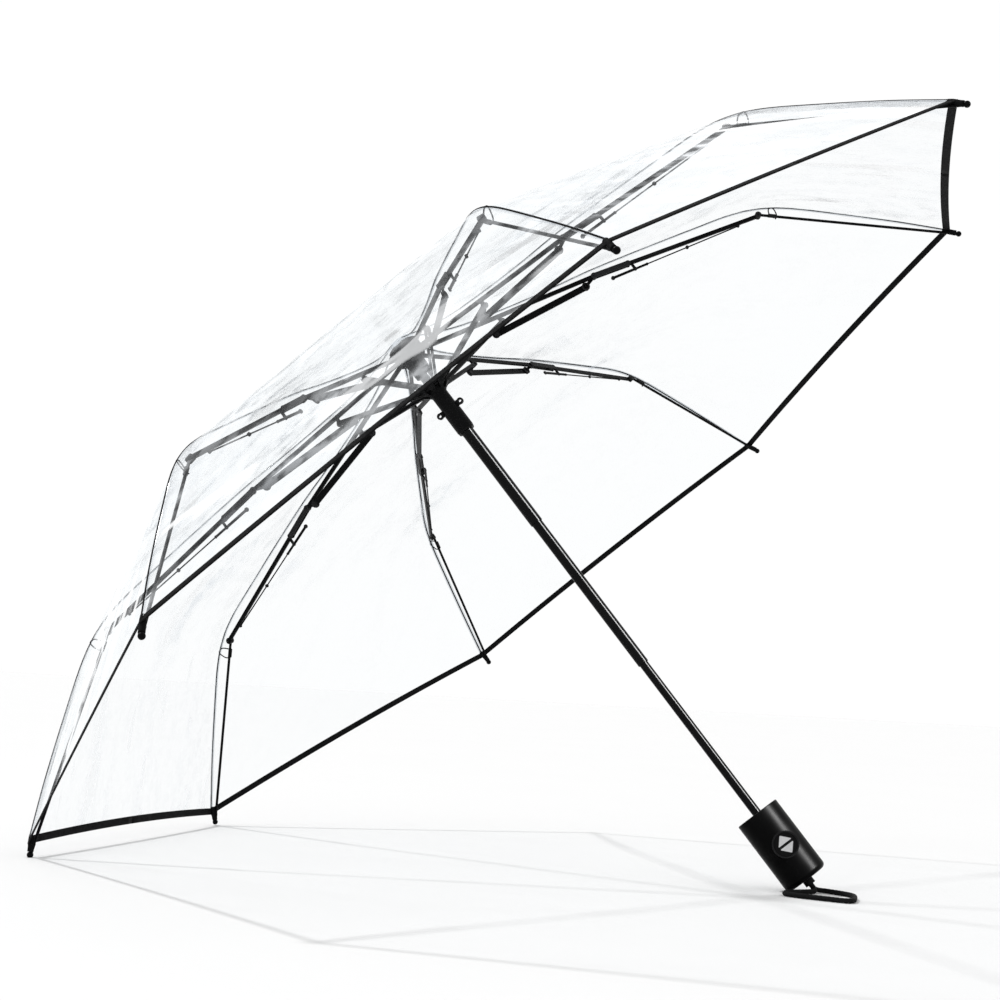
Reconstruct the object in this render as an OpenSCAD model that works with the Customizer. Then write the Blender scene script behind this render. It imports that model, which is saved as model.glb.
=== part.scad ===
// Clear compact umbrella: open, lying on two rib tips and the rim of its handle.
// Sub-parts are drawn upright round the shaft: the shaft is the Z axis, the hub is at height 0
// and the handle hangs below. lay_down() tips the whole umbrella into the pose it rests in.
// A rib's own parts are drawn in its plane: first number out from the shaft, second number up.

/* [Canopy] */
// Distance of each rib tip from the shaft axis
tip_radius = 490; // [485:1:495]
// Height of the rib tips against the hub
tip_height = -190; // [-194:1:-186]
// Thickness of the clear film
film_thick = 0.3; // [0.2:0.1:0.5]
// Thickness of the bound edge
hem_thick = 1.2; // [0.8:0.1:1.6]
// Width of the bound edge
hem_width = 5.5; // [4.5:0.5:6]
// How far the edge curves inward between two ribs
hem_inset = 4; // [2:1:8]

/* [Ribs] */
// Half height of the flat rib bars
bar_half = 1.8; // [1.5:0.1:1.9]
// Radius of the wire that the outer ribs are made of
outer_rib_r = 1.25; // [1:0.05:1.3]
// Radius of the small rivets in the rib joints
rivet_r = 0.8; // [0.6:0.05:0.9]

/* [Shaft] */
// Outer radius of the upper tube
upper_r = 5.6; // [5.5:0.05:5.6]
// Outer radius of the middle tube
middle_r = 4.8; // [4.6:0.05:4.8]
// Outer radius of the lower tube
lower_r = 3.9; // [3.7:0.05:3.9]
// Lowest point of the upper tube
upper_end = -195; // [-197:1:-193]
// Lowest point of the middle tube
middle_end = -345; // [-350:1:-340]

/* [Handle] */
// Radius of the handle
grip_r = 19; // [18.5:0.5:20]
// Height of the handle's top face
grip_top = -497; // [-499:1:-495]
// Height of the handle's bottom face
grip_bottom = -562; // [-566:1:-560]
// Radius of the handle's round lower rim
grip_round = 4; // [3:0.5:5]
// Radius of the push button
button_r = 9.5; // [9:0.5:10]
// Height of the push button's centre
button_height = -530; // [-531:1:-529]

/* [Hidden] */
$fn = 48;
ribs = 8;
gap = 0.3;                       // running clearance between moving pieces
tube_wall = 0.5;
// Rib joints in the rib's own plane, umbrella open
pivot = [11, -8];                // top rib on the crown
elbow_1 = [181.6, -36];          // top rib to middle rib
elbow_2 = [345, -71];            // middle rib to outer rib
tip = [tip_radius, tip_height];
stretch = 78;                    // crown pivot to stretcher rivet, and stretcher rivet to its foot
open_angle = 13.5;               // droop of that line when the umbrella is open
knee = pivot + stretch * [cos(open_angle), -sin(open_angle)];
foot = knee - stretch * [cos(open_angle), sin(open_angle)];
lever = 12.54;                   // stretcher rivet to the link rod's inner rivet
rod_in = knee + lever * [cos(210.5), sin(210.5)];
rod_out = elbow_1 + 12 * [cos(197.91), sin(197.91)];
// Sideways layers of the flat bars, so that they fold past each other
core = 1;                        // half thickness of the top and middle ribs
plate = [1.2, 2.2];              // side plates that straddle them
rod_layer = [2.5, 3.7];
outer_layer = -2.45;             // centre of the outer rib's wire
rod_slack = 2.4;                 // hole of the open pivot at the middle rib's lever
wire_r = 0.7;                    // wire ring in the crown
tip_cap_r = 2.6;
crown_r = 14.5;
sleeve_r = 7.4;
button_turn = 286;               // direction that the button faces, round the shaft
ferrule_drop = 5;                // how far the strap's ferrule hangs below the handle
strap_r = 2;
// Strap's centre line: out from the ferrule's mouth, sideways, and height above the ground
strap_route = [
    [0, -2.2, 6.8], [2.6, -2.2, 3.7], [3, -6.5, 2.3], [-3, -14, 2.1], [-10, -21, 2.1], [-16, -28, 2.1],
    [-18, -36, 2.1], [-14, -43, 2.1], [-5, -47, 2.1], [5, -50, 2.1], [15, -53, 2.1], [25, -56, 2.1],
    [32, -56, 2.1], [35.5, -50, 2.1], [36, -41, 2.1], [36, -31, 2.1], [35, -21, 2.1], [31, -12, 2.1],
    [23, -4, 2.1], [13, 3, 2.1], [6, 4, 2.4], [2.6, 2.2, 3.7], [0, 2.2, 6.8]
];
// Resting pose: the floor touches two tip caps and the rounded rim of the handle
low_tip = [-tip_radius * cos(22.5), tip_height];
rim = [-(grip_r - grip_round), grip_bottom + grip_round];
run = rim - low_tip;
tilt = atan2(-run[1], run[0]) + asin((grip_round - tip_cap_r) / norm(run));
function lain(p) = [p[0] * cos(tilt) + p[1] * sin(-tilt), p[0] * sin(tilt) + p[1] * cos(tilt)];
far_tip = [tip_radius * cos(22.5), tip_height];
shift_x = -(lain(far_tip)[0] + lain(low_tip)[0]) / 2;
shift_z = tip_cap_r - lain(low_tip)[1];

module lay_down() { translate([shift_x, 0, shift_z]) rotate([0, -tilt, 0]) children(); }
module at_rib(i) { lay_down() rotate([0, 0, 22.5 + 45 * (i - 1)]) children(); }

// A round boss across the rib's plane, from side a to side b
module boss(p, r, a, b) { translate([p[0], a, p[1]]) rotate([-90, 0, 0]) cylinder(h = b - a, r = r); }

// A flat strip from p to q
module strip(p, q, half, a, b) {
    turn = atan2(q[1] - p[1], q[0] - p[0]);
    translate([p[0], 0, p[1]]) rotate([0, -turn, 0])
        translate([0, a, -half]) cube([norm(q - p), b - a, 2 * half]);
}

// A flat bar from p to q with a round head of its own radius at each end
module bar(p, q, half, a, b, head_p = 0, head_q = 0) {
    strip(p, q, half, a, b);
    boss(p, max(head_p, half + 0.3), a, b);
    boss(q, max(head_q, half + 0.3), a, b);
}

// A round wire from p to q in the layer y
module wire(p, q, r, y) {
    turn = atan2(q[1] - p[1], q[0] - p[0]);
    translate([p[0], y, p[1]]) rotate([0, 90 - turn, 0]) cylinder(h = norm(q - p), r = r);
}

// A point a given way along the line from p to q
function along(p, q, d) = p + (q - p) * d / norm(q - p);

// Top rib: grooved bar from the crown to the first elbow, with its two rivets
module top_rib(i) {
    color("black") at_rib(i) {
        difference() {
            union() {
                bar(pivot, elbow_1, bar_half, -core, core, 2.4, 3);
                bar(along(pivot, elbow_1, 76), knee, 1.6, -core, core, 1.7, 2.5);
            }
            boss(pivot, wire_r + 0.25, -3, 3);
            for (side = [-1, 1])
                bar(along(pivot, elbow_1, 10), along(pivot, elbow_1, 66), 0.6,
                    side * core - 0.35, side * core + 0.35);
        }
        boss(knee, rivet_r, -2.7, 2.4);
        boss(elbow_1, rivet_r, -2.5, 2.4);
        boss(knee, 1.5, -2.8, -2.35);
    }
}

// Stretcher: two side plates from the runner to the top rib, joined at a round foot.
// The foot only rests in the runner's slot: it is the pivot at which the closed linkage is opened.
module stretcher(i) {
    color("black") at_rib(i) {
        difference() {
            union() {
                for (side = [[-plate[1], -plate[0]], plate]) bar(foot, knee, 1.7, side[0], side[1], 2, 2.5);
                boss(foot, 2.3, -1.9, 1.9);
                bar(foot, along(foot, knee, 7), 1.1, -1.7, 1.7, 1.5, 1.4);
                bar(knee, rod_in, 1.4, plate[0], plate[1], 1.8, 2.4);
            }
            boss(knee, rivet_r + 0.15, -3, 3);
        }
        boss(rod_in, 0.6, plate[1] - 0.5, rod_layer[1] + 0.3);
    }
}

// Link rod: flat bar that ties the stretcher's lever to the middle rib's lever, with a pin in its outer hole
module link_rod(i) {
    color("black") at_rib(i) {
        difference() {
            union() {
                strip(rod_in, rod_out, 3, rod_layer[0] + 0.15, rod_layer[1] - 0.15);
                for (end = [rod_in, rod_out]) boss(end, 3.5, rod_layer[0], rod_layer[1]);
            }
            boss(rod_in, 0.75, rod_layer[0] - 1, rod_layer[1] + 1);
        }
        boss(rod_out, 0.5, plate[0] + 0.1, rod_layer[0] + 0.3);
    }
}

// Middle rib: fork that straddles the first elbow, bar, control wire on its tab, and second rivet
module mid_rib(i) {
    tab_1 = along(elbow_1, elbow_2, 37) + [0, -7.2];
    tab_2 = along(elbow_2, elbow_1, 22) + [0, -2.6];
    half_way = (tab_1 + tab_2) / 2;
    wire_end = along(elbow_1, elbow_2, 14) + [0, -8.2];
    color("black") at_rib(i) {
        difference() {
            union() {
                bar(along(elbow_1, elbow_2, 30), elbow_2, bar_half, -core, core, 2.2, 3);
                for (side = [[-plate[1], -plate[0]], plate])
                    bar(elbow_1, along(elbow_1, elbow_2, 34), 2.3, side[0], side[1], 2.8, 2.6);
                bar(along(elbow_1, elbow_2, 31), along(elbow_1, elbow_2, 33), 1.2, -1.7, 1.7);
                boss(rod_out, rod_slack + 1.4, plate[0], plate[1]);
                strip(along(rod_out, elbow_1, 3), along(elbow_1, rod_out, 1.7), 1.5,
                    plate[0] + 0.15, plate[1] - 0.15);
            }
            boss(elbow_1, rivet_r + 0.15, -3, 3);
            boss(rod_out, rod_slack, plate[0] - 0.1, plate[1] + 1);
        }
        boss(elbow_2, rivet_r, -4, 1.4);
        boss(elbow_2, 1.5, core - 0.1, 1.5);
        wire(along(tab_1, tab_2, 8), tab_2, 0.6, 0);
        bar(tab_1 + [0, 6.2], tab_1, 1.1, -0.8, 0.8, 1.5, 1.6);
        bar(tab_1, along(tab_1, tab_2, 12), 0.9, -0.7, 0.7, 1.3, 1.2);
        bar(wire_end, tab_1, 1.1, -0.6, 0.6, 1.9, 1.3);
        boss(half_way, 1.6, -0.75, 0.75);
        bar(tab_2 + [0, 1.6], tab_2, 0.7, -0.8, 0.8, 1, 1.3);
    }
}

// Outer rib: wire from the second elbow to the tip, with an eye, a tie clip and a round tip cap
module outer_rib(i) {
    clip_in = along(elbow_2, tip, 9);
    clip_out = along(elbow_2, tip, 17);
    color("black") at_rib(i) {
        difference() {
            union() {
                wire(elbow_2, tip, outer_rib_r, outer_layer);
                boss(elbow_2, 3, outer_layer - outer_rib_r, outer_layer + outer_rib_r);
            }
            boss(elbow_2, rivet_r + 0.15, -5, 2);
        }
        wire(clip_in, clip_out, 1.8, outer_layer - 0.6);
        wire(along(tip, elbow_2, 9), tip, 1.55, outer_layer);
        translate([tip[0], outer_layer, tip[1]]) sphere(r = tip_cap_r);
    }
}

// Crown: slotted disc on the upper tube that carries the eight top ribs
module crown() {
    color("dimgray") lay_down() difference() {
        rotate_extrude() polygon([
            [0, 4], [12, 4], [crown_r, 2.5], [crown_r, -9], [13, -12.5], [9, -14], [8, -30],
            [upper_r, -30], [upper_r, 0], [0, 0]
        ]);
        translate([0, 0, -14.5]) ring_groove(7.3);
        for (i = [1:ribs]) rotate([0, 0, 22.5 + 45 * (i - 1)])
            translate([8.2, -core - 0.4, -16]) cube([10, 2 * core + 0.8, 11.6]);
        cylinder(h = 20, r = 1.6, center = true);
    }
}

// Groove for a wire ring, drawn upward from its open end
module ring_groove(h) {
    difference() {
        cylinder(h = h, r = pivot[0] + wire_r + 0.1);
        translate([0, 0, -1]) cylinder(h = h + 2, r = pivot[0] - wire_r - 0.1);
    }
}

// Wire ring that the ribs or the stretchers turn on
module wire_ring(height) {
    color("silver") lay_down() translate([0, 0, height])
        rotate_extrude() translate([pivot[0], 0]) circle(r = wire_r);
}

// Top cap: clear button that holds the film down on the crown
module top_cap() {
    color("gainsboro") lay_down() {
        translate([0, 0, 5.1]) rotate_extrude() polygon([
            [0, 0], [13, 0], [13, 1.2], [11.6, 2.4], [8, 3.4], [0, 3.8]
        ]);
        translate([0, 0, -6]) cylinder(h = 11.2, r = 1.5);
    }
}

// Heights of the film over a rib, from the hub to the edge
film_line = [
    [3, 5], [14, 4.6], [34, -3.5], [60, -11], [100, -18.5], [140, -24.5], [182, -29.8], [235, -39],
    [290, -49.5], [322, -56], [348, -65], [374, -81], [411, -112.5], [450, -147.5], [482.8, -179]
];
edge_dir = [0.77, -0.638];       // direction of the outer rib, in its plane
cells = 6;                       // steps across one gore
function inset(u) = 4 * u * (1 - u);
function film_at(row, u, extra, drop) =
    let (p = row == len(film_line) ? film_line[row - 1] + extra * edge_dir : film_line[row])
    let (pull = hem_inset * inset(u) * pow(p[0] / 484, 3))
    let (q = p - pull * edge_dir)
    [q[0], q[1] - drop];
// A point of a gore: straight across between the two ribs beside it
function gore_point(row, k, extra, drop) =
    let (g = floor(k / cells), u = k / cells - g, q = film_at(row, u, extra, drop))
    let (a = 22.5 + 45 * g, b = a + 45)
    [q[0] * ((1 - u) * cos(a) + u * cos(b)), q[0] * ((1 - u) * sin(a) + u * sin(b)), q[1]];
around = ribs * cells;

// Closed sheet over the given rows, thick in the direction of the shaft
module sheet(rows, extras, thick) {
    n = len(rows);
    pts = [for (side = [0, 1], r = [0:n - 1], k = [0:around - 1])
        gore_point(rows[r], k, extras[r], side * thick)];
    function at(side, r, k) = side * n * around + r * around + k % around;
    faces = concat(
        [for (r = [0:n - 2], k = [0:around - 1]) [at(0, r, k), at(0, r, k + 1), at(0, r + 1, k + 1)]],
        [for (r = [0:n - 2], k = [0:around - 1]) [at(0, r, k), at(0, r + 1, k + 1), at(0, r + 1, k)]],
        [for (r = [0:n - 2], k = [0:around - 1]) [at(1, r, k), at(1, r + 1, k + 1), at(1, r, k + 1)]],
        [for (r = [0:n - 2], k = [0:around - 1]) [at(1, r, k), at(1, r + 1, k), at(1, r + 1, k + 1)]],
        [for (k = [0:around - 1]) [at(0, 0, k), at(1, 0, k), at(1, 0, k + 1)]],
        [for (k = [0:around - 1]) [at(0, 0, k), at(1, 0, k + 1), at(0, 0, k + 1)]],
        [for (k = [0:around - 1]) [at(0, n - 1, k), at(1, n - 1, k + 1), at(1, n - 1, k)]],
        [for (k = [0:around - 1]) [at(0, n - 1, k), at(0, n - 1, k + 1), at(1, n - 1, k + 1)]]
    );
    lay_down() polyhedron(points = pts, faces = faces);
}

// Canopy film: one clear sheet of eight gores over the ribs
module canopy_film() {
    last = len(film_line) - 1;
    color("lightcyan", 0.4) sheet([for (r = [0:last]) r], [for (r = [0:last]) 0], film_thick);
}

// Bound edge of the canopy, just outside the film
module canopy_hem() {
    last = len(film_line);
    color("black") sheet([last, last], [0.3, hem_width], hem_thick);
}

// One length of the shaft's tube
module tube(r, wall, low, high) {
    difference() {
        translate([0, 0, low]) cylinder(h = high - low, r = r);
        translate([0, 0, low - 1]) cylinder(h = high - low + 2, r = r - wall);
    }
}

module upper_tube() { color("black") lay_down() tube(upper_r, tube_wall, upper_end, 0); }
module middle_tube() { color("black") lay_down() tube(middle_r, 0.6, middle_end, middle_end + 180); }
module lower_tube() { color("black") lay_down() tube(lower_r, 0.7, grip_bottom + 18, middle_end + 30); }

// Runner: slotted flange, sleeve round the upper tube and two ears
module runner() {
    color("black") lay_down() translate([0, 0, foot[1]]) difference() {
        union() {
            rotate_extrude() polygon([
                [upper_r + 0.2, 4], [8.4, 4], [13.5, 3], [13.5, -3], [9, -6], [sleeve_r, -8],
                [sleeve_r, -26], [8, -28], [8, -46], [sleeve_r, -49], [upper_r + 0.2, -49]
            ]);
            for (side = [-1, 1]) {
                strip([side * 6.7, -24], [side * 11, -24], 2.6, -1.2, 1.2);
                boss([side * 11, -24], 2.9, -1.35, 1.35);
            }
        }
        for (i = [1:ribs]) rotate([0, 0, 22.5 + 45 * (i - 1)])
            translate([8.5, -plate[1] - gap, -12]) cube([10, 2 * (plate[1] + gap), 24]);
        for (side = [-1, 1]) boss([side * 11, -24], 1.2, -4, 4);
    }
}

// Opening spring: closed coil seated in the lower tube
module opening_spring() { color("silver") lay_down() tube(2.9, 0.6, grip_bottom + 24, middle_end + 26); }

// Handle grip: round shell with a pocket for the button and a hole for the shaft
module handle_grip() {
    color("black") lay_down() difference() {
        rotate_extrude() difference() {
            union() {
                translate([0, grip_bottom + grip_round]) square([grip_r, grip_top - grip_bottom - grip_round - 1]);
                translate([0, grip_top - 1.1]) square([grip_r - 1, 1.1]);
                translate([grip_r - 1, grip_top - 1]) circle(r = 1);
                translate([0, grip_bottom]) square([grip_r - grip_round, grip_round + 0.1]);
                translate([grip_r - grip_round, grip_bottom + grip_round]) circle(r = grip_round);
            }
            translate([-60, grip_bottom - 1]) square([60, 80]);
        }
        translate([0, 0, grip_bottom + 18]) cylinder(h = 80, r = lower_r);
        translate([0, 0, grip_bottom - 1]) cylinder(h = 13, r = 13);
        facing_button() translate([0, 0, 9]) cylinder(h = 20, r = button_r + 1.4);
        facing_button() translate([0, 0, 4.4]) cylinder(h = 20, r = 3);
    }
}

// Turns children so that Z points out of the button's face
module facing_button() {
    translate([0, 0, button_height]) rotate([0, 0, button_turn]) rotate([0, 90, 0]) children();
}

// End cap: closes the bottom of the handle, with a slot for the strap
module end_cap() {
    color("black") lay_down() translate([0, 0, grip_bottom]) difference() {
        rotate_extrude() polygon([[0, 0.4], [12.4, 0.4], [13, 1], [13, 12], [10.5, 12], [10.5, 3], [0, 3]]);
        translate([0, 0, -1]) cylinder(h = 10, r = 4.8);
        rotate([0, 0, 90]) boss([0, 9], 1.1, -14, 14);
    }
}

// Ring round the button, set in the grip's pocket
module button_ring() {
    color("dimgray") lay_down() facing_button() difference() {
        translate([0, 0, 9]) cylinder(h = grip_r - 8.6, r = button_r + 1.4);
        translate([0, 0, 8]) cylinder(h = 20, r = button_r + 0.2);
    }
}

// Push button: round key with two plain arrowheads and a stem for the spring
module push_button() {
    face = grip_r + 0.9;
    color("black") lay_down() facing_button() {
        translate([0, 0, 14]) cylinder(h = face - 14, r = button_r);
        translate([0, 0, 11.6]) cylinder(h = 2.5, r = 1.6);
        for (way = [0, 180]) rotate([0, 0, way]) translate([0.9, 0, face - 0.1])
            linear_extrude(0.4) polygon([[0, -7], [7.6, 0], [0, 7]]);
    }
}

// Coil spring behind the button
module button_spring() {
    turns = 4;
    steps = 12;
    function ring_at(k) = let (a = 360 * k / steps) [2.3 * cos(a), 2.3 * sin(a), 9.5 + 3.6 * k / (turns * steps)];
    function side_of(k) = let (a = 360 * k / steps) [cos(a), sin(a), 0];
    path = [for (k = [0:turns * steps]) ring_at(k)];
    outs = [for (k = [0:turns * steps]) side_of(k)];
    color("silver") lay_down() facing_button() sweep(path, outs, [for (k = path) [0, 0, 1]], 0.35, 0.35, 6);
}

function unit(v) = v / norm(v);

// Sweeps an oval section along a path; outs and ups are the section's two directions at each ring
module sweep(path, outs, ups, half_w, half_h, sides) {
    n = len(path);
    pts = [for (k = [0:n - 1], s = [0:sides - 1])
        path[k] + half_w * cos(360 * s / sides) * outs[k] + half_h * sin(360 * s / sides) * ups[k]];
    function at(k, s) = k * sides + s % sides;
    walls = [for (k = [0:n - 2], s = [0:sides - 1]) [at(k, s), at(k, s + 1), at(k + 1, s + 1), at(k + 1, s)]];
    polyhedron(points = pts, faces = concat(
        [[for (s = [0:sides - 1]) at(0, sides - 1 - s)]], walls, [[for (s = [0:sides - 1]) at(n - 1, s)]]
    ));
}

// Pin across the end cap that the strap is looped on
module strap_pin() { color("silver") lay_down() rotate([0, 0, 90]) boss([0, grip_bottom + 9], 1, -12.8, 12.8); }

// Ferrule that hangs on the pin and gathers the strap's two ends below the handle
module strap_ferrule() {
    color("black") lay_down() difference() {
        translate([0, 0, grip_bottom - ferrule_drop]) cylinder(h = ferrule_drop + 11.4, r = 4.4);
        rotate([0, 0, 90]) boss([0, grip_bottom + 9], 1.05, -6, 6);
    }
}

// Wrist strap: round cord that leaves the ferrule, lies on the ground in a loop and comes back
module wrist_strap() {
    mouth = lain([0, grip_bottom - ferrule_drop]);
    path = [for (p = strap_route) [p[0] + mouth[0] + shift_x, p[1], p[2]]];
    last = len(path) - 1;
    ways = [for (k = [0:last]) unit(path[min(k + 1, last)] - path[max(k - 1, 0)])];
    outs = [for (w = ways) unit(cross(w, [0, 0, 1]))];
    ups = [for (k = [0:last]) cross(outs[k], ways[k])];
    color("black") sweep(path, outs, ups, strap_r, strap_r, 10);
}

crown();
wire_ring(pivot[1]);  // crown_wire
top_cap();
canopy_film();
canopy_hem();
upper_tube();
middle_tube();
lower_tube();
runner();
opening_spring();
handle_grip();
end_cap();
button_ring();
push_button();
button_spring();
strap_pin();
wrist_strap();
strap_ferrule();
for (i = [1:ribs]) {
    top_rib(i);
    mid_rib(i);
    outer_rib(i);
    stretcher(i);
    link_rod(i);
}
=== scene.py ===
"""Looks of the clear folding umbrella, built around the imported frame.

Lengths are in metres. Parts of the canopy are worked out upright round the shaft, as the CAD does:
the shaft is the Z axis and the hub is at height 0. lay() turns such a point into the resting pose.
"""

import math

import bpy
import numpy as np
from mathutils import Matrix, Vector


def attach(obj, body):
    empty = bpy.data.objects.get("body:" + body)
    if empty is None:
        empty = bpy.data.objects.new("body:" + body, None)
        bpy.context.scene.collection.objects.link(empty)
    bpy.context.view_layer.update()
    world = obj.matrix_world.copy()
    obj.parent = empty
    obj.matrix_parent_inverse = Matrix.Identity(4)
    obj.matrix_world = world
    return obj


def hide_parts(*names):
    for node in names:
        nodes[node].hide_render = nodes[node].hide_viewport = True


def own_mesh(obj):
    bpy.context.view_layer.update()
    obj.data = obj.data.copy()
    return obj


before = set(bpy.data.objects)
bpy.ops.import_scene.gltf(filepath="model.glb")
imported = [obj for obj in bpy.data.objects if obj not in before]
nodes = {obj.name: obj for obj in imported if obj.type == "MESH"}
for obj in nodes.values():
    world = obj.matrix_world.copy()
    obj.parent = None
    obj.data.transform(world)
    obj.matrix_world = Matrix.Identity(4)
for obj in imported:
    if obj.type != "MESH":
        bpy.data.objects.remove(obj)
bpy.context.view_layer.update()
scene = bpy.context.scene

# Resting pose: the floor touches two tip caps and the rounded rim of the handle
TIP_RADIUS = 0.490
TIP_HEIGHT = -0.190
TIP_CAP = 0.0026
GRIP_RADIUS = 0.019
GRIP_BOTTOM = -0.562
GRIP_ROUND = 0.004
LOW_TIP = (-TIP_RADIUS * math.cos(math.radians(22.5)), TIP_HEIGHT)
RIM = (-(GRIP_RADIUS - GRIP_ROUND), GRIP_BOTTOM + GRIP_ROUND)
RUN = (RIM[0] - LOW_TIP[0], RIM[1] - LOW_TIP[1])
TILT = math.atan2(-RUN[1], RUN[0]) + math.asin((GRIP_ROUND - TIP_CAP) / math.hypot(*RUN))
COS_T, SIN_T = math.cos(TILT), math.sin(TILT)


def turned(p):
    """An upright point or direction, turned into the resting pose."""
    p = np.asarray(p, float)
    return np.stack([p[..., 0] * COS_T - p[..., 2] * SIN_T, p[..., 1],
                     p[..., 0] * SIN_T + p[..., 2] * COS_T], axis=-1)


LOW_LAIN = turned((LOW_TIP[0], 0, LOW_TIP[1]))
HIGH_LAIN = turned((-LOW_TIP[0], 0, TIP_HEIGHT))
SHIFT = np.array([-(LOW_LAIN[0] + HIGH_LAIN[0]) / 2, 0, TIP_CAP - LOW_LAIN[2]])


def lay(p):
    """An upright point in the row frame."""
    return turned(p) + SHIFT


def rib_angle(i):
    """Angle of rib i round the shaft, from the X axis."""
    return math.radians(22.5 + 45 * (i - 1))


def at_rib(i, p):
    """A point given out from the shaft, sideways and up in the plane of rib i, in the row frame."""
    p = np.asarray(p, float)
    c, s = math.cos(rib_angle(i)), math.sin(rib_angle(i))
    return lay(np.stack([p[..., 0] * c - p[..., 1] * s, p[..., 0] * s + p[..., 1] * c, p[..., 2]], axis=-1))


# ---------------------------------------------------------------- camera, floor and light

camera = bpy.data.objects.new("camera", bpy.data.cameras.new("camera"))
scene.collection.objects.link(camera)
camera.location = (0.325, -1.484, 0.158)
camera.rotation_euler = [math.radians(a) for a in (95.68, -3.03, 13.15)]
camera.data.sensor_width = 36
camera.data.lens = 64.54
camera.data.clip_start = 0.01
scene.camera = camera
scene.view_settings.view_transform = "Standard"

world = bpy.data.worlds.new("studio")
scene.world = world
world.use_nodes = True
world.node_tree.nodes["Background"].inputs["Color"].default_value = (1, 1, 1, 1)
world.node_tree.nodes["Background"].inputs["Strength"].default_value = 1.01

sun = bpy.data.objects.new("sun", bpy.data.lights.new("sun", "SUN"))
sun.data.energy = 1.85
sun.data.angle = math.radians(2.5)
sun.rotation_euler = Vector((0.75, -0.15, -1)).to_track_quat("-Z", "Y").to_euler()
scene.collection.objects.link(sun)


def strip_light(name, place, aim, along, length, width, power):
    """A long narrow softbox whose length runs the given way."""
    light = bpy.data.lights.new(name, "AREA")
    light.shape = "RECTANGLE"
    light.size = length
    light.size_y = width
    light.energy = power
    made = bpy.data.objects.new(name, light)
    back = (Vector(place) - Vector(aim)).normalized()
    side = Vector(along)
    side = (side - back * side.dot(back)).normalized()
    turn = Matrix((side, back.cross(side), back)).transposed()
    made.matrix_world = Matrix.Translation(place) @ turn.to_4x4()
    scene.collection.objects.link(made)
    return made


SHAFT_WAY = tuple(turned((0, 0, 1)))
strip_light("key", (-1.2, -1.6, 1.5), (0, 0, 0.25), (1, 0, 0), 0.12, 0.12, 3)

# A bright reflector that only the shaft and the handle see, for the highlight along them
strip = strip_light("strip", (0.97, -0.52, 1.33), (0.05, 0, 0.24), SHAFT_WAY, 1.4, 0.5, 300)
strip.visible_diffuse = False
polished = bpy.data.collections.new("polished_pieces")
for name in ("upper_tube", "middle_tube", "lower_tube", "handle_grip", "button_ring", "push_button"):
    polished.objects.link(nodes[name])
strip.light_linking.receiver_collection = polished


# ---------------------------------------------------------------- materials

class Shader:
    """A new material and short ways to add nodes to it."""

    def __init__(self, name):
        self.material = bpy.data.materials.new(name)
        self.material.use_nodes = True
        self.tree = self.material.node_tree
        self.tree.nodes.clear()
        self.place = self.add("ShaderNodeTexCoord").outputs["Object"]

    def add(self, kind, **settings):
        """A new node with these settings."""
        made = self.tree.nodes.new(kind)
        for key, value in settings.items():
            setattr(made, key, value)
        return made

    def put(self, socket, value):
        """Link a socket to another, or set it to a number or colour."""
        if isinstance(value, bpy.types.NodeSocket):
            self.tree.links.new(value, socket)
        elif isinstance(value, (tuple, list)) and len(value) == 3 and socket.type == "RGBA":
            socket.default_value = (*value, 1)
        else:
            socket.default_value = value

    def mapped(self, scale, turn=(0, 0, 0)):
        """Object coordinates, stretched and turned."""
        made = self.add("ShaderNodeMapping")
        self.put(made.inputs["Vector"], self.place)
        made.inputs["Scale"].default_value = scale
        made.inputs["Rotation"].default_value = turn
        return made.outputs["Vector"]

    def noise(self, scale, detail=4, rough=0.55, vector=None):
        made = self.add("ShaderNodeTexNoise")
        self.put(made.inputs["Vector"], vector or self.place)
        made.inputs["Scale"].default_value = scale
        made.inputs["Detail"].default_value = detail
        made.inputs["Roughness"].default_value = rough
        return made.outputs["Fac"]

    def span(self, value, low, high, to_low, to_high):
        """A value eased from one range to another, and held at its ends."""
        made = self.add("ShaderNodeMapRange", interpolation_type="SMOOTHSTEP")
        for key, number in zip(("From Min", "From Max", "To Min", "To Max"), (low, high, to_low, to_high)):
            made.inputs[key].default_value = number
        self.put(made.inputs["Value"], value)
        return made.outputs["Result"]

    def math(self, operation, a, b=0.0):
        made = self.add("ShaderNodeMath", operation=operation)
        self.put(made.inputs[0], a)
        self.put(made.inputs[1], b)
        return made.outputs[0]

    def colour(self, factor, a, b):
        made = self.add("ShaderNodeMix", data_type="RGBA")
        self.put(made.inputs[0], factor)
        self.put(made.inputs[6], a)
        self.put(made.inputs[7], b)
        return made.outputs[2]

    def bump(self, height, strength, distance, normal=None):
        made = self.add("ShaderNodeBump")
        made.inputs["Strength"].default_value = strength
        made.inputs["Distance"].default_value = distance
        self.put(made.inputs["Height"], height)
        if normal is not None:
            self.put(made.inputs["Normal"], normal)
        return made.outputs["Normal"]

    def principled(self, **values):
        made = self.add("ShaderNodeBsdfPrincipled")
        for key, value in values.items():
            self.put(made.inputs[key.replace("_", " ")], value)
        return made.outputs["BSDF"]

    def finish(self, surface):
        out = self.add("ShaderNodeOutputMaterial")
        self.put(out.inputs["Surface"], surface)
        return self.material


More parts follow.
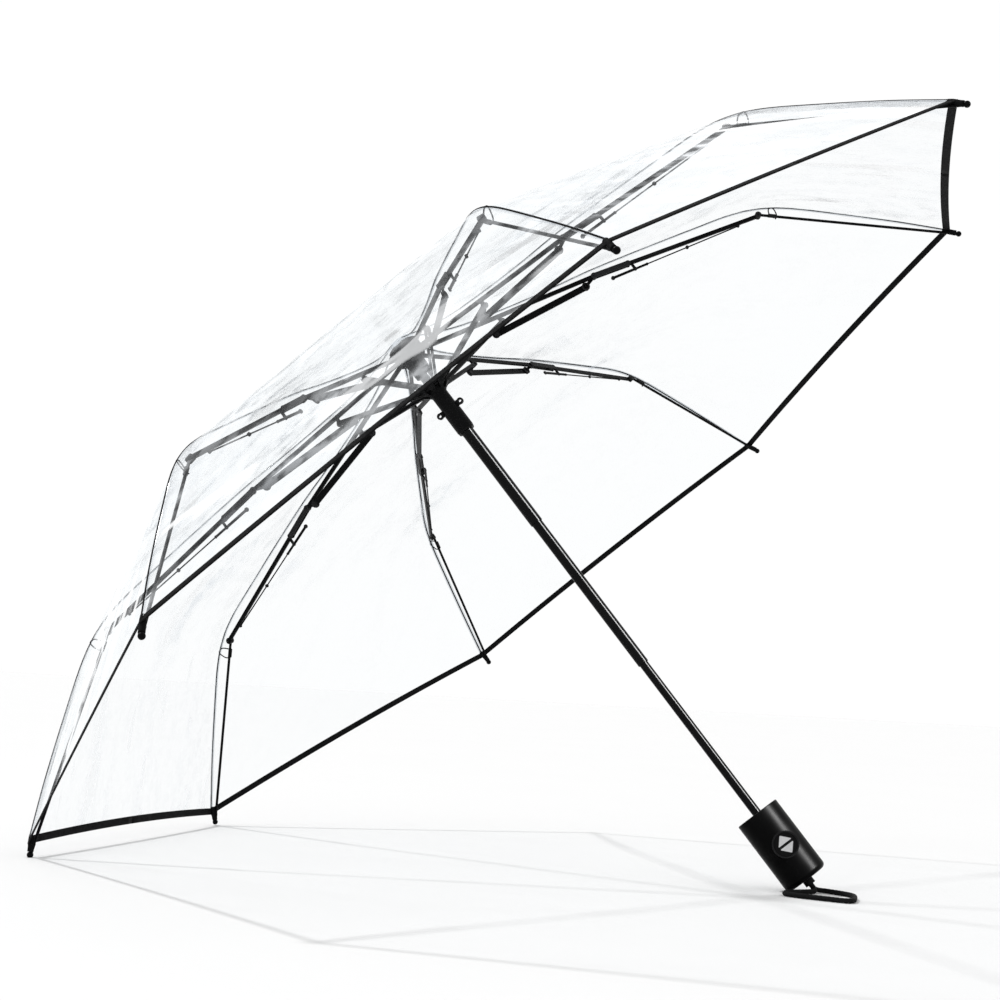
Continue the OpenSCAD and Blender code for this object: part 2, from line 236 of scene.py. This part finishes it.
def painted_metal():
    """Black enamel on steel: slight orange peel, cloudy gloss and edges rubbed a little lighter."""
    s = Shader("black_enamel")
    cloud = s.noise(60, 3)
    peel = s.noise(900, 2)
    scratch = s.noise(35, 5, 0.7, s.mapped((1, 14, 30), (0.3, 0.2, 0.5)))
    worn = s.span(s.add("ShaderNodeNewGeometry").outputs["Pointiness"], 0.53, 0.6, 0, 0.5)
    paint = s.colour(cloud, (0.0015, 0.0015, 0.0017), (0.004, 0.004, 0.0043))
    base = s.colour(worn, paint, (0.03, 0.03, 0.031))
    gloss = s.span(scratch, 0.3, 0.75, 0.24, 0.42)
    normal = s.bump(peel, 0.12, 0.0002)
    return s.finish(s.principled(Base_Color=base, Roughness=gloss, Specular_IOR_Level=0.03, Normal=normal))


def tube_enamel():
    """Shaft tubes: glossier black enamel, drawn along the length, that takes a thin bright highlight."""
    s = Shader("tube_enamel")
    drawn = s.noise(40, 4, 0.6, s.mapped((1, 30, 1), (0, TILT, 0)))
    cloud = s.noise(25, 3)
    base = s.colour(cloud, (0.0015, 0.0015, 0.0017), (0.005, 0.005, 0.0053))
    gloss = s.span(drawn, 0.3, 0.7, 0.1, 0.18)
    normal = s.bump(drawn, 0.03, 0.0001)
    return s.finish(s.principled(Base_Color=base, Roughness=gloss, Specular_IOR_Level=0.065, Normal=normal))


def moulded(name, dark, light, low, high, grain, strength, shine=0.04):
    """Moulded black plastic: fine texture from the mould, cloudy roughness and lighter edges."""
    s = Shader(name)
    cloud = s.noise(30, 3)
    fine = s.noise(grain, 2, 0.6)
    worn = s.span(s.add("ShaderNodeNewGeometry").outputs["Pointiness"], 0.52, 0.6, 0, 0.35)
    base = s.colour(worn, s.colour(cloud, dark, light), tuple(4 * c for c in light))
    gloss = s.span(cloud, 0.3, 0.7, low, high)
    normal = s.bump(fine, strength, 0.0003)
    return s.finish(s.principled(Base_Color=base, Roughness=gloss, Specular_IOR_Level=shine, Normal=normal))


def bare_steel():
    """Spring and pin steel: bright, drawn and faintly blotched."""
    s = Shader("bare_steel")
    drawn = s.noise(300, 4, 0.6, s.mapped((1, 1, 20)))
    base = s.colour(s.noise(80, 3), (0.55, 0.56, 0.57), (0.68, 0.68, 0.67))
    gloss = s.span(drawn, 0.3, 0.7, 0.18, 0.38)
    normal = s.bump(drawn, 0.1, 0.0001)
    return s.finish(s.principled(Base_Color=base, Metallic=1.0, Roughness=gloss, Normal=normal))


def clear_sheet(name, veil, rise, tint):
    """Clear film: nearly invisible face on, a soft white sheen at a slant, streaks, faint waves and painted
    white glare.

    Where a line of sight grazes it, as along a fold, painted shade makes it a little grey.
    """
    s = Shader(name)
    wave = s.noise(7, 2, 0.5)
    crease = s.noise(11, 2, 0.5, s.mapped((1, 3.5, 1), (0.4, 0.3, 0.8)))
    patch = s.noise(70, 2, 0.5)
    haze = s.noise(5, 3, 0.6, s.mapped((1, 2.5, 0.8), (0.2, 0.6, 0.3)))
    fine = s.noise(420, 2)
    normal = s.bump(crease, 0.2, 0.003, s.bump(wave, 0.5, 0.012, s.bump(fine, 0.03, 0.0001)))
    slant = s.add("ShaderNodeLayerWeight")
    slant.inputs["Blend"].default_value = 0.35
    s.put(slant.inputs["Normal"], normal)
    facing = slant.outputs["Facing"]
    streak = s.math("MULTIPLY", s.span(haze, 0.45, 0.68, 0.5, 1.6), s.span(crease, 0.42, 0.62, 0.6, 1.4))
    mottle = s.span(patch, 0.4, 0.6, 0.55, 1.5)
    cover = s.math("MULTIPLY", s.math("MULTIPLY", s.span(facing, 0.2, 0.95, veil, rise), streak), mottle)
    # Painted reflection: white glare streaks in the film's colour and cover stand in for reflected lamps
    painted_glare = s.span(s.noise(9, 2, 0.5, s.mapped((0.5, 4, 1), (0.7, 0.5, 0.2))), 0.62, 0.67, 0, 0.8)
    painted_glare = s.math("MULTIPLY", painted_glare, s.span(facing, 0.25, 0.6, 0, 1))
    cover = s.math("MINIMUM", s.math("MAXIMUM", cover, painted_glare), 0.92)
    # Painted shade: the film's colour goes grey where it is seen edge on, as along a fold
    edge = s.span(facing, 0.93, 1.0, 0, 0.55)
    body = s.colour(edge, s.colour(s.noise(9, 2), (0.78, 0.83, 0.88), (0.95, 0.96, 0.97)), (0.2, 0.22, 0.24))
    # Painted reflection: along the glare streaks the film is coloured white
    body = s.colour(painted_glare, body, (1.0, 1.0, 1.0))
    gloss = s.span(fine, 0.3, 0.7, 0.07, 0.16)
    sheen = s.principled(Base_Color=body, Roughness=gloss, Specular_IOR_Level=0.7, Normal=normal)
    through = s.add("ShaderNodeBsdfTransparent")
    s.put(through.inputs["Color"], tint)
    mix = s.add("ShaderNodeMixShader")
    s.put(mix.inputs[0], cover)
    s.put(mix.inputs[1], through.outputs[0])
    s.put(mix.inputs[2], sheen)
    return s.finish(mix.outputs[0])


def woven_tape():
    """Bound edge: black ribbon with a fine rib across it."""
    s = Shader("binding_tape")
    weave = s.add("ShaderNodeTexVoronoi", feature="F1")
    weave.inputs["Scale"].default_value = 1500
    s.put(weave.inputs["Vector"], s.place)
    ribbed = s.noise(500, 2, 0.5)
    base = s.colour(s.noise(45, 4), (0.002, 0.002, 0.0022), (0.008, 0.008, 0.0085))
    height = s.math("ADD", weave.outputs["Distance"], ribbed)
    gloss = s.span(ribbed, 0.3, 0.7, 0.62, 0.85)
    normal = s.bump(height, 0.15, 0.0002)
    return s.finish(s.principled(Base_Color=base, Roughness=gloss, Sheen_Weight=0.01, Sheen_Roughness=0.4,
                                 Specular_IOR_Level=0.03, Normal=normal))


def braid():
    """Wrist strap: braided black cord, matt with a soft sheen on its strands."""
    s = Shader("braided_cord")
    strands = s.noise(700, 3, 0.6)
    base = s.colour(strands, (0.002, 0.002, 0.0022), (0.012, 0.012, 0.0125))
    gloss = s.span(strands, 0.3, 0.7, 0.6, 0.85)
    normal = s.bump(strands, 0.5, 0.0003)
    return s.finish(s.principled(Base_Color=base, Roughness=gloss, Sheen_Weight=0.02, Sheen_Roughness=0.35,
                                 Specular_IOR_Level=0.04, Normal=normal))


def ink():
    """Pale grey ink of the button's two arrowheads, slightly mottled."""
    s = Shader("pale_ink")
    mottle = s.noise(600, 3)
    base = s.colour(mottle, (0.42, 0.42, 0.43), (0.6, 0.6, 0.6))
    return s.finish(s.principled(Base_Color=base, Roughness=s.span(mottle, 0.3, 0.7, 0.45, 0.6),
                                 Normal=s.bump(mottle, 0.15, 0.0001)))


ENAMEL = painted_metal()
TUBE = tube_enamel()
DEEP_BLACK = (0.0006, 0.0006, 0.0007)
SOFT_BLACK = (0.0016, 0.0016, 0.0017)
MOULD_BLACK = (0.002, 0.002, 0.0022)
PLASTIC = moulded("black_plastic_fine", MOULD_BLACK, (0.005, 0.005, 0.0053), 0.3, 0.44, 1400, 0.15)
SOFT_GRIP = moulded("grip_soft_touch", DEEP_BLACK, SOFT_BLACK, 0.3, 0.38, 2200, 0.06, 0.035)
GLOSS = moulded("button_gloss", DEEP_BLACK, SOFT_BLACK, 0.14, 0.24, 900, 0.05, 0.05)
STEEL = bare_steel()
FILM = clear_sheet("clear_film", 0.025, 0.55, (0.975, 0.985, 0.99))
SEAM = clear_sheet("film_seam", 0.3, 0.85, (0.72, 0.74, 0.76))
CAP = clear_sheet("clear_cap", 0.1, 0.45, (0.93, 0.95, 0.97))
TAPE = woven_tape()
THREAD = woven_tape()
CORD = braid()
INK = ink()


# ---------------------------------------------------------------- mesh helpers

def piece(name, verts, faces, materials, slots=None, smooth=True):
    """A new mesh object in the row frame."""
    mesh = bpy.data.meshes.new(name)
    mesh.from_pydata([tuple(map(float, v)) for v in verts], [], [tuple(map(int, f)) for f in faces])
    for m in materials:
        mesh.materials.append(m)
    if slots is not None:
        mesh.polygons.foreach_set("material_index", list(slots))
    mesh.polygons.foreach_set("use_smooth", [smooth] * len(mesh.polygons))
    mesh.update()
    made = bpy.data.objects.new(name, mesh)
    scene.collection.objects.link(made)
    return made


def grid_faces(rows, cols, closed=False):
    """Quads of a grid of points stored row by row."""
    last = cols if closed else cols - 1
    return [(r * cols + c, r * cols + (c + 1) % cols, (r + 1) * cols + (c + 1) % cols, (r + 1) * cols + c)
            for r in range(rows - 1) for c in range(last)]


def smooth_line(points, steps):
    """Points of a smooth curve through the given ones, steps to each stretch."""
    p = np.asarray(points, float)
    p = np.vstack([2 * p[0] - p[1], p, 2 * p[-1] - p[-2]])
    out = []
    for k in range(1, len(p) - 2):
        for t in np.arange(steps) / steps:
            a, b, c, d = p[k - 1], p[k], p[k + 1], p[k + 2]
            out.append(0.5 * (2 * b + (c - a) * t + (2 * a - 5 * b + 4 * c - d) * t * t
                              + (3 * b - a - 3 * c + d) * t ** 3))
    out.append(p[-2])
    return np.array(out)


def tube_mesh(line, radius, sides, relief=0.0, twist=0.0):
    """Vertices and faces of a closed tube along a line, with a braided relief if asked."""
    line = np.asarray(line, float)
    n = len(line)
    ways = np.gradient(line, axis=0)
    ways /= np.linalg.norm(ways, axis=1)[:, None]
    run = np.concatenate([[0], np.cumsum(np.linalg.norm(np.diff(line, axis=0), axis=1))])
    out = np.cross(ways[0], (0.0, 0.0, 1.0))
    verts = []
    for k in range(n):
        out = out - ways[k] * (out @ ways[k])
        out /= np.linalg.norm(out)
        up = np.cross(ways[k], out)
        for s in range(sides):
            a = 2 * math.pi * s / sides
            lift = 1 + relief * math.cos(4 * a + twist * run[k]) * math.cos(4 * a - twist * run[k])
            verts.append(line[k] + radius * lift * (math.cos(a) * out + math.sin(a) * up))
    faces = grid_faces(n, sides, closed=True)
    faces = [f[::-1] for f in faces]
    verts += [line[0], line[-1]]
    faces += [(n * sides, s, (s + 1) % sides) for s in range(sides)]
    faces += [(n * sides + 1, (n - 1) * sides + (s + 1) % sides, (n - 1) * sides + s) for s in range(sides)]
    return verts, faces


# ---------------------------------------------------------------- wrist strap

# The strap's route over the floor, in millimetres, from below the ferrule's mouth and back to it
MOUTH = lay((0, 0, GRIP_BOTTOM - 0.005))
STRAP_RADIUS = 0.00195
STRAND_RELIEF, STRAND_TWIST = 0.07, 900
STRAP_MM = [
    (0, -2.2, 6.8), (2.6, -2.2, 3.7), (3, -6.5, 2.3), (-3, -14, 2.1), (-10, -21, 2.1), (-16, -28, 2.1),
    (-18, -36, 2.1), (-14, -43, 2.1), (-5, -47, 2.1), (5, -50, 2.1), (15, -53, 2.1), (25, -56, 2.1),
    (32, -56, 2.1), (35.5, -50, 2.1), (36, -41, 2.1), (36, -31, 2.1), (35, -21, 2.1), (31, -12, 2.1),
    (23, -4, 2.1), (13, 3, 2.1), (6, 4, 2.4), (2.6, 2.2, 3.7), (0, 2.2, 6.8)
]
strap_points = np.array(STRAP_MM) / 1000 + np.array([MOUTH[0], 0, 0])
strap_line = smooth_line(strap_points, 14)
strap_shape = tube_mesh(strap_line, STRAP_RADIUS, 16, STRAND_RELIEF, STRAND_TWIST)
strap = piece("wrist_cord", *strap_shape, [CORD])
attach(strap, "handle")
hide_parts("wrist_strap")


# ---------------------------------------------------------------- canopy film

# Film over a rib, from the hub to the edge: out from the shaft and up, in millimetres
FILM_MM = [
    (3, 5), (14, 4.6), (34, -3.5), (60, -11), (100, -18.5), (140, -24.5), (182, -29.8), (235, -39),
    (290, -49.5), (322, -56), (348, -65), (374, -81), (411, -112.5), (450, -147.5), (482.8, -179)
]
# Rows of FILM_MM over the two elbows, and the way that the film runs on past its edge
ELBOW_1_ROW, ELBOW_2_ROW = 6, 10
EDGE = np.array([0.77, -0.638])
EDGE_RADIUS = 0.484
HEM_INSET = 0.004
STEPS = 6
film_rows = smooth_line(np.array(FILM_MM) / 1000, STEPS)


def gore_point(row, c, extra=0.0):
    """Upright point of the film near a rib, which lies over the X axis.

    row is a point over the rib, out and up, and c the share of the gore beside it, from -0.5 to 0.5.
    extra is the distance past the film's edge. The film draws in between two ribs, most at the edge.
    """
    u = abs(c)
    q = row - HEM_INSET * 4 * u * (1 - u) * (row[0] / EDGE_RADIUS) ** 3 * EDGE + extra * EDGE
    side = math.radians(45) * (1 if c >= 0 else -1)
    return np.array([q[0] * ((1 - u) + u * math.cos(side)), q[0] * u * math.sin(side), q[1]])


def film_normals(points):
    """Unit normals of a grid of points."""
    along = np.gradient(points, axis=0)
    across = np.gradient(points, axis=1)
    n = np.cross(along, across)
    return n / np.linalg.norm(n, axis=2)[:, :, None]


COLS = 13
columns = np.linspace(-0.5, 0.5, COLS)
whole = np.array([[gore_point(row, c) for c in columns] for row in film_rows])
whole_normals = film_normals(whole)
middle = COLS // 2

# Over a rib the film's normals have no sideways share, so that two gores shade as one sheet
tight = whole_normals[:, middle]
tight[:, 1] = 0
whole_normals[:, middle] = tight / np.linalg.norm(tight, axis=1)[:, None]

# Part of the film over each bar of a rib: its name, the bar, and its first and last rows
zones = [
    ("inner", "top_rib", STEPS, ELBOW_1_ROW * STEPS),
    ("middle", "mid_rib", ELBOW_1_ROW * STEPS, ELBOW_2_ROW * STEPS),
    ("outer", "outer_rib", ELBOW_2_ROW * STEPS, len(film_rows) - 1),
]

# The two halves of a gore, one each side of its rib
HALVES = ("left", "right")


def seam_strip(first, last):
    """Welded seam over the rib, with its thread: points out, sideways and up, faces and material slots."""
    profile = [(-2, 0.05), (-1.8, 0.3), (-0.7, 0.35), (-0.5, 1), (0.5, 1), (0.7, 0.35), (1.8, 0.3),
               (2, 0.05)]
    verts = []
    for k in range(first, last + 1):
        up = whole_normals[k, middle]
        up = up if up[2] > 0 else -up
        for across, lift in profile:
            verts.append(whole[k, middle] + np.array([0, across / 1000, 0]) + up * (lift / 1000))
    slots = [1, 1, 2, 2, 2, 1, 1] * (last - first)
    return np.array(verts), grid_faces(last - first + 1, len(profile)), slots


def gather(made, half, first, last):
    """Half a gore: its slope across the rib is worked out but not used, and it gets a mesh of its own."""
    along = whole[last, middle] - whole[first, middle]
    along /= np.linalg.norm(along)
    side = 0 if half == "left" else COLS - 1
    slope = (whole[first:last + 1, side] - whole[first:last + 1, middle]).sum(axis=0)
    slope -= along * (slope @ along)
    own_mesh(made)


def film_piece(i, half, zone, carrier, first, last):
    """Half a gore beside rib i, over one of its three bars. The right half also carries the seam."""
    left, right = (0, middle + 1) if half == "left" else (middle, COLS)
    points = whole[first:last + 1, left:right]
    verts = points.reshape(-1, 3)
    faces = grid_faces(last - first + 1, right - left)
    normals = whole_normals[first:last + 1, left:right].reshape(-1, 3)
    count = len(verts)
    slots = [0] * len(faces)
    if half == "right":
        welded, welded_faces, welded_slots = seam_strip(first, last)
        verts = np.vstack([verts, welded])
        faces += [tuple(f + count for f in quad) for quad in welded_faces]
        slots += welded_slots
    made = piece(f"film_{zone}_{half}_{i}", at_rib(i, verts), faces, [FILM, SEAM, THREAD], slots)
    c, s = math.cos(rib_angle(i)), math.sin(rib_angle(i))
    flat = np.stack([normals[:, 0] * c - normals[:, 1] * s, normals[:, 0] * s + normals[:, 1] * c,
                     normals[:, 2]], axis=1)
    own = [Vector(v.normal) for v in made.data.vertices]
    wanted = turned(flat)
    for k in range(count):
        own[k] = Vector(wanted[k]) * (1 if Vector(wanted[k]).dot(own[k]) > 0 else -1)
    made.data.normals_split_custom_set_from_vertices([tuple(v) for v in own])
    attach(made, f"{carrier}_{i}_body")
    gather(made, half, first, last)
    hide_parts("canopy_film")


for i in range(1, 9):
    for zone in zones:
        for half in HALVES:
            film_piece(i, half, *zone)


# ---------------------------------------------------------------- bound edge

# Cross-section of the folded tape: distance past the film's edge and height off it, in millimetres
HEM_SECTION = [
    (-1.2, 0.3), (0, 0.42), (2.4, 0.52), (4.4, 0.6), (5.2, 0.45), (5.5, 0.0),
    (5.2, -0.45), (4.4, -0.6), (2.4, -0.52), (0, -0.42), (-1.2, -0.3), (-1.4, 0.0)
]
HEM_COLS = 21
# Stated flat width, not a measured one: a sheet may not be under 10 mm wide
STITCH_PITCH = 0.0032
# Half a stitch's length and width and its height, how far in from the film's edge it is and how far off it
STITCH_HALF = (0.001, 0.00022, 0.0001)
STITCH_IN, STITCH_OFF = 0.0006, 0.0004


def hem_frame(c):
    """Edge point of the film at share c, and there the ways outward, along the edge and off the film."""
    d = 1e-4
    here = gore_point(film_rows[-1], c)
    outward = gore_point(film_rows[-1], c, 0.001) - here
    low, high = max(c - d, -0.5), min(c + d, 0.5)
    if abs(c) < d:
        low, high = (-d, d)
    along = gore_point(film_rows[-1], high) - gore_point(film_rows[-1], low)
    outward /= np.linalg.norm(outward)
    along /= np.linalg.norm(along)
    off = np.cross(outward, along)
    off /= np.linalg.norm(off)
    return here, outward, along, off if off[2] > 0 else -off


def hem_piece(i, half):
    """The tape along half a gore's edge, from the rib to the gore's middle, with its stitches."""
    verts, faces = [], []
    n = len(HEM_SECTION)
    sign = -1 if half == "left" else 1
    shares = np.linspace(-0.5, 0, HEM_COLS) if half == "left" else np.linspace(0, 0.5, HEM_COLS)
    for c in shares:
        here, outward, along, off = hem_frame(c)
        verts += [here + outward * a / 1000 + off * b / 1000 for a, b in HEM_SECTION]
    faces += grid_faces(HEM_COLS, n, closed=True)
    faces += [tuple(range(n))[::-1], tuple((HEM_COLS - 1) * n + k for k in range(n))]
    span = float(np.linalg.norm(gore_point(film_rows[-1], 0.5) - gore_point(film_rows[-1], 0)))
    count = int(span / STITCH_PITCH)
    for k in range(count):
        c = sign * 0.5 * (k + 0.5) / count
        here, outward, along, off = hem_frame(c)
        for face in (1, -1):
            centre = here - outward * STITCH_IN + off * face * STITCH_OFF
            first = len(verts)
            a, b, h = STITCH_HALF
            verts += [centre - along * a, centre - outward * b, centre + along * a, centre + outward * b,
                      centre - along * a * 0.4 + off * face * h, centre + along * a * 0.4 + off * face * h]
            tops = [(0, 1, 4), (1, 5, 4), (1, 2, 5), (2, 3, 5), (3, 4, 5), (3, 0, 4), (0, 3, 2, 1)]
            faces += [tuple(first + x for x in (f if face > 0 else f[::-1])) for f in tops]
    made = piece(f"edge_tape_{half}_{i}", at_rib(i, np.array(verts)), faces, [TAPE])
    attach(made, f"outer_rib_{i}_body")
    gather(made, half, ELBOW_2_ROW * STEPS, len(film_rows) - 1)
    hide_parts("canopy_hem")


# Small black pocket that holds the edge's corner on the tip, and the thread that ties the film near the
# second elbow. Points out, sideways and up; the outer rib's wire lies beside the rib's plane.
RIB_ASIDE = -0.00245
POCKET_RADIUS = 0.0025
POCKET_LINE = [
    (0.4805, 0, -0.1785), (0.4835, -0.0008, -0.1815), (0.4862, -0.0018, -0.1852), (0.4885, RIB_ASIDE, -0.188)
]
THREAD_RADIUS = 0.00055
TIE_LINE = [
    (0.3555, RIB_ASIDE, -0.0817), (0.353, RIB_ASIDE - 0.0017, -0.0775), (0.3575, -0.001, -0.0712),
    (0.3625, 0.0008, -0.0724), (0.3605, RIB_ASIDE + 0.0022, -0.08), (0.3565, RIB_ASIDE + 0.0012, -0.0828)
]


def small_trim(i):
    """The pocket on the tip of rib i and the tie of the film to it, both carried by the outer rib."""
    pocket, pocket_faces = tube_mesh(smooth_line(POCKET_LINE, 4), POCKET_RADIUS, 12)
    made = piece(f"tip_pocket_{i}", at_rib(i, np.array(pocket)), pocket_faces, [TAPE])
    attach(made, f"outer_rib_{i}_body")
    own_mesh(made)
    tie, tie_faces = tube_mesh(smooth_line(TIE_LINE, 5), THREAD_RADIUS, 8)
    made = piece(f"film_tie_{i}", at_rib(i, np.array(tie)), tie_faces, [THREAD])
    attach(made, f"outer_rib_{i}_body")
    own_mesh(made)


for i in range(1, 9):
    for half in HALVES:
        hem_piece(i, half)
    small_trim(i)


# ---------------------------------------------------------------- materials of the CAD nodes

NODE_FINISH = {
    "crown": PLASTIC, "crown_wire": STEEL, "top_cap": CAP, "upper_tube": TUBE, "middle_tube": TUBE,
    "lower_tube": TUBE, "runner": PLASTIC, "opening_spring": STEEL,
    "handle_grip": SOFT_GRIP, "end_cap": PLASTIC, "button_ring": PLASTIC, "push_button": GLOSS,
    "button_spring": STEEL, "strap_pin": STEEL, "strap_ferrule": PLASTIC
}
for name, node in nodes.items():
    finish = NODE_FINISH.get(name, ENAMEL)
    node.data.materials.clear()
    node.data.materials.append(finish)


# ---------------------------------------------------------------- button's arrowheads

BUTTON_TURN = math.radians(286)
BUTTON_HEIGHT = -0.530
# The ink's two faces, as distances from the shaft's axis
INK_HEIGHTS = (GRIP_RADIUS + 0.0011, GRIP_RADIUS + 0.00128)


def on_button(x, y, z):
    """A point on the button, where z points out of its face and x down the handle, in the row frame."""
    across = np.array([-math.sin(BUTTON_TURN), math.cos(BUTTON_TURN), 0])
    out = np.array([math.cos(BUTTON_TURN), math.sin(BUTTON_TURN), 0])
    return lay(across * y + out * z + np.array([0, 0, BUTTON_HEIGHT - x]))


def arrowhead(way, name):
    """Flat inked triangle with rounded corners, just over the moulded one."""
    corners = [(1.05, -6.6), (8.2, 0), (1.05, 6.6)]
    ring = []
    for k in range(3):
        a, b, c = (np.array(corners[(k + j) % 3]) for j in (-1, 0, 1))
        start, end = b + (a - b) * 0.1, b + (c - b) * 0.1
        ring += [(1 - t) ** 2 * start + 2 * t * (1 - t) * b + t * t * end for t in (0, 0.33, 0.67, 1)]
    verts = [on_button(way * x / 1000, way * y / 1000, height) for height in INK_HEIGHTS for x, y in ring]
    n = len(ring)
    faces = [(k, (k + 1) % n, n + (k + 1) % n, n + k) for k in range(n)]
    faces += [tuple(range(n))[::-1], tuple(range(n, 2 * n))]
    made = piece(name, verts, faces, [INK], smooth=False)
    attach(made, "button")


def key_spring():
    """Coil spring behind the button, carried by the handle."""
    turns, steps, radius, low, free = 4, 16, 2.3, 9.5, 3.6
    wire_radius = 0.00035
    line = []
    for k in range(turns * steps + 1):
        a = 2 * math.pi * k / steps
        height = low + free * k / (turns * steps)
        line.append(on_button(radius * math.cos(a) / 1000, radius * math.sin(a) / 1000, height / 1000))
    verts, faces = tube_mesh(line, wire_radius, 8)
    made = piece("key_spring", verts, faces, [STEEL])
    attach(made, "handle")
    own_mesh(made)
    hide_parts("button_spring")


key_spring()
arrowhead(1, "arrow_open")
arrowhead(-1, "arrow_close")


# ---------------------------------------------------------------- floor

floor_shader = Shader("pale_floor")
floor_tone = floor_shader.colour(floor_shader.noise(3, 3), (0.655, 0.655, 0.655), (0.67, 0.67, 0.67))
floor_finish = floor_shader.finish(
    floor_shader.principled(Base_Color=floor_tone, Roughness=0.8, Specular_IOR_Level=0.2))
FLOOR_HALF = 12.0
floor_corners = [(x * FLOOR_HALF, y * FLOOR_HALF, 0) for x, y in ((-1, -1), (1, -1), (1, 1), (-1, 1))]
floor = piece("floor", floor_corners, [(0, 1, 2, 3)], [floor_finish], smooth=False)
